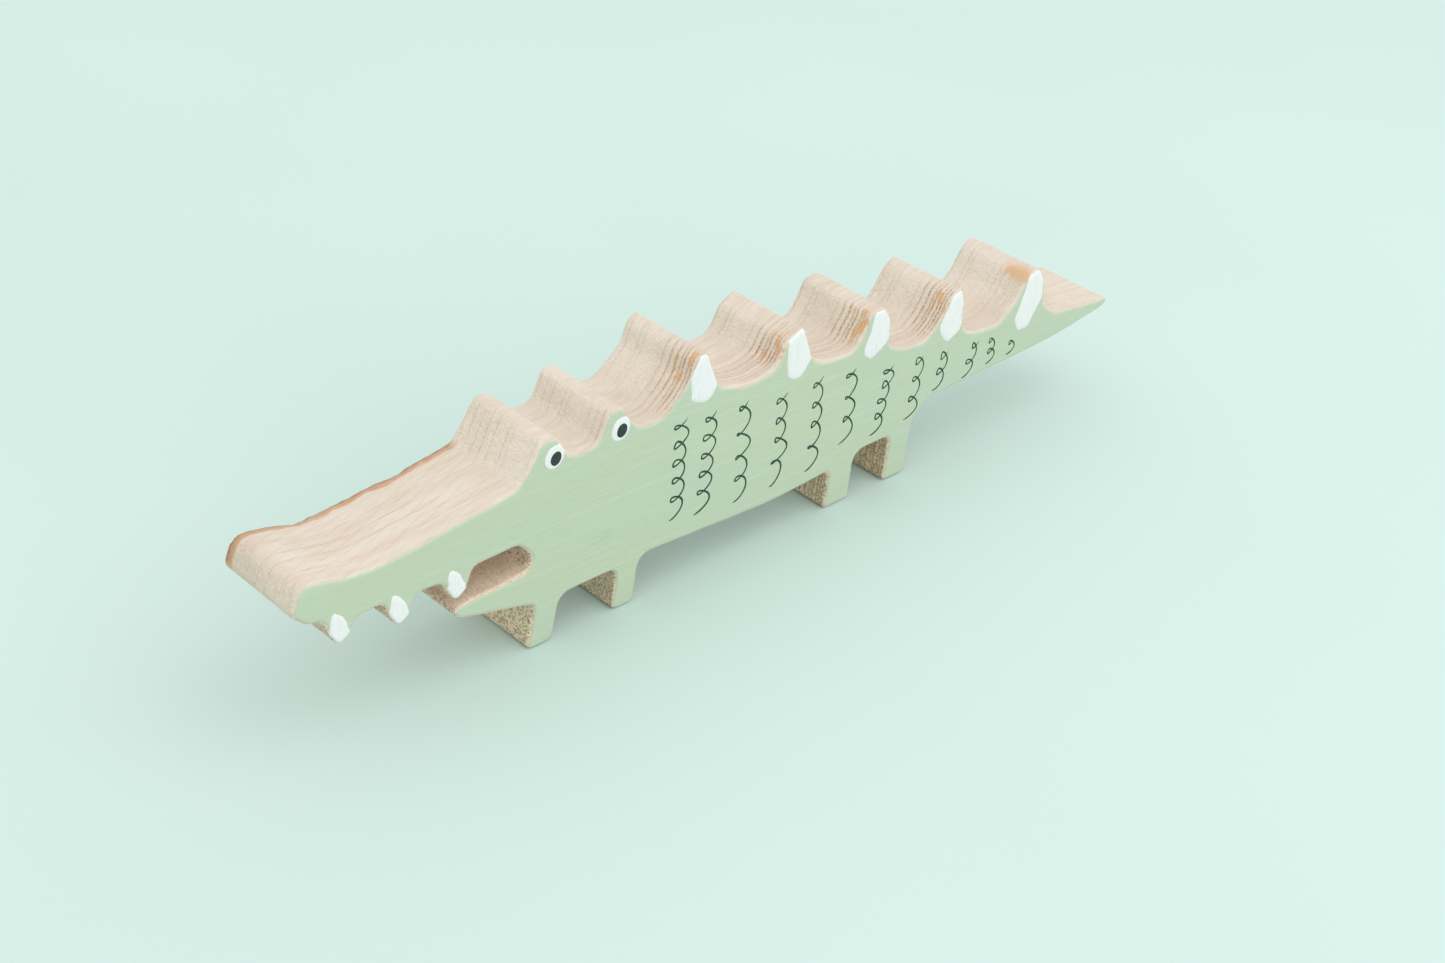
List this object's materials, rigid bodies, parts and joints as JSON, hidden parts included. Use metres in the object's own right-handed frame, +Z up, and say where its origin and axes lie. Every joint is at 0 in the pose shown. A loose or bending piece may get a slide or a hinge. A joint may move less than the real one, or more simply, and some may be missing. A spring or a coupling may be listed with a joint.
{
  "type": "painted wooden crocodile figure",
  "caption": "Long flat crocodile sawn from a thick board, standing on short legs, green on both faces with white teeth and back plates, bare wood edges.",
  "frame": {"origin": "on the standing surface, under the middle of the overall length and of the board's thickness", "axes": "+X from snout to tail, +Y through the board away from the face named front, +Z up"},
  "size_m": [0.2988, 0.026, 0.0665],
  "materials": {
    "bare_wood": "unfinished sawn and lightly sanded pale wood with brown, pore-dotted year rings; species not established",
    "face_green": "matt brushed sage-green paint",
    "white_paint": "matt off-white paint with brush ridges",
    "pupil_paint": "satin near-black paint",
    "pen_ink": "dark green pen ink"
  },
  "bodies": {
    "root": {"board": "bare_wood", "front_face_colour": "face_green", "front_tooth_1": "white_paint", "front_tooth_2": "white_paint", "front_tooth_3": "white_paint", "front_plate_tip_1": "white_paint", "front_plate_tip_2": "white_paint", "front_plate_tip_3": "white_paint", "front_plate_tip_4": "white_paint", "front_plate_tip_5": "white_paint", "front_eye_white_1": "white_paint", "front_eye_white_2": "white_paint", "front_pupil_1": "pupil_paint", "front_pupil_2": "pupil_paint", "front_pen_loops_1": "pen_ink", "front_pen_loops_2": "pen_ink", "front_pen_loops_3": "pen_ink", "front_pen_loops_4": "pen_ink", "front_pen_loops_5": "pen_ink", "front_pen_loops_6": "pen_ink", "front_pen_loops_7": "pen_ink", "front_pen_loops_8": "pen_ink", "front_pen_loops_9": "pen_ink", "front_pen_loops_10": "pen_ink", "front_pen_loops_11": "pen_ink", "front_pen_loops_12": "pen_ink", "back_face_colour": "face_green", "back_tooth_1": "white_paint", "back_tooth_2": "white_paint", "back_tooth_3": "white_paint", "back_plate_tip_1": "white_paint", "back_plate_tip_2": "white_paint", "back_plate_tip_3": "white_paint", "back_plate_tip_4": "white_paint", "back_plate_tip_5": "white_paint", "back_eye_white_1": "white_paint", "back_eye_white_2": "white_paint", "back_pupil_1": "pupil_paint", "back_pupil_2": "pupil_paint", "back_pen_loops_1": "pen_ink", "back_pen_loops_2": "pen_ink", "back_pen_loops_3": "pen_ink", "back_pen_loops_4": "pen_ink", "back_pen_loops_5": "pen_ink", "back_pen_loops_6": "pen_ink", "back_pen_loops_7": "pen_ink", "back_pen_loops_8": "pen_ink", "back_pen_loops_9": "pen_ink", "back_pen_loops_10": "pen_ink", "back_pen_loops_11": "pen_ink", "back_pen_loops_12": "pen_ink"}
  },
  "joints": []
}
